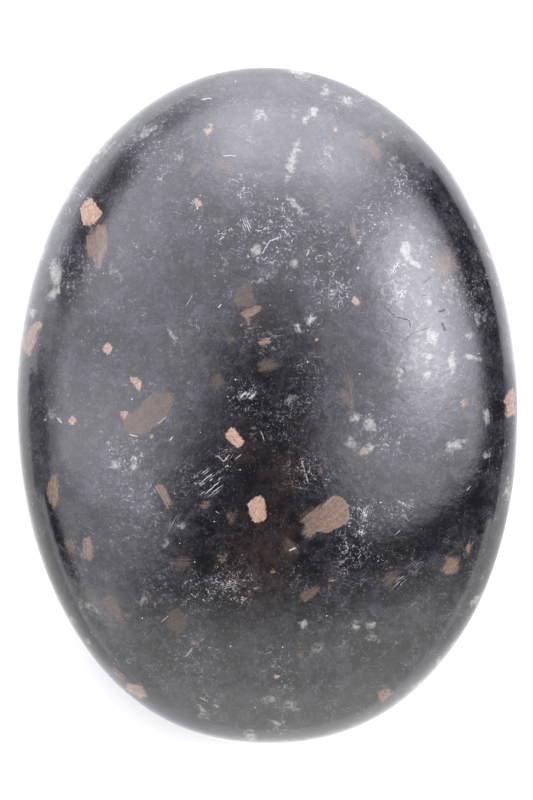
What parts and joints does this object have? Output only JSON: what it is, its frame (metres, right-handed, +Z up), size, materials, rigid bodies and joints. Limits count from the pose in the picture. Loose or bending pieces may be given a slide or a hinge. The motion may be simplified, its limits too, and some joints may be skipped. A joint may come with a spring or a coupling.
{
  "type": "nuummite palm stone",
  "caption": "Smooth flattened oval palm stone of polished dark rock with copper-coloured flakes, lying on a small flat spot.",
  "frame": {"origin": "centre of the bounding box at its bottom, on the flat spot that the stone rests on", "axes": "+Z up out of the upper broad face, +Y along the length towards the slimmer end, +X across the width"},
  "size_m": [0.0502, 0.068, 0.021],
  "materials": {
    "polished_rock": "polished dark rock with copper-brown flakes and fine pale needles in it"
  },
  "bodies": {
    "root": {"palm_stone": "polished_rock"}
  },
  "joints": []
}
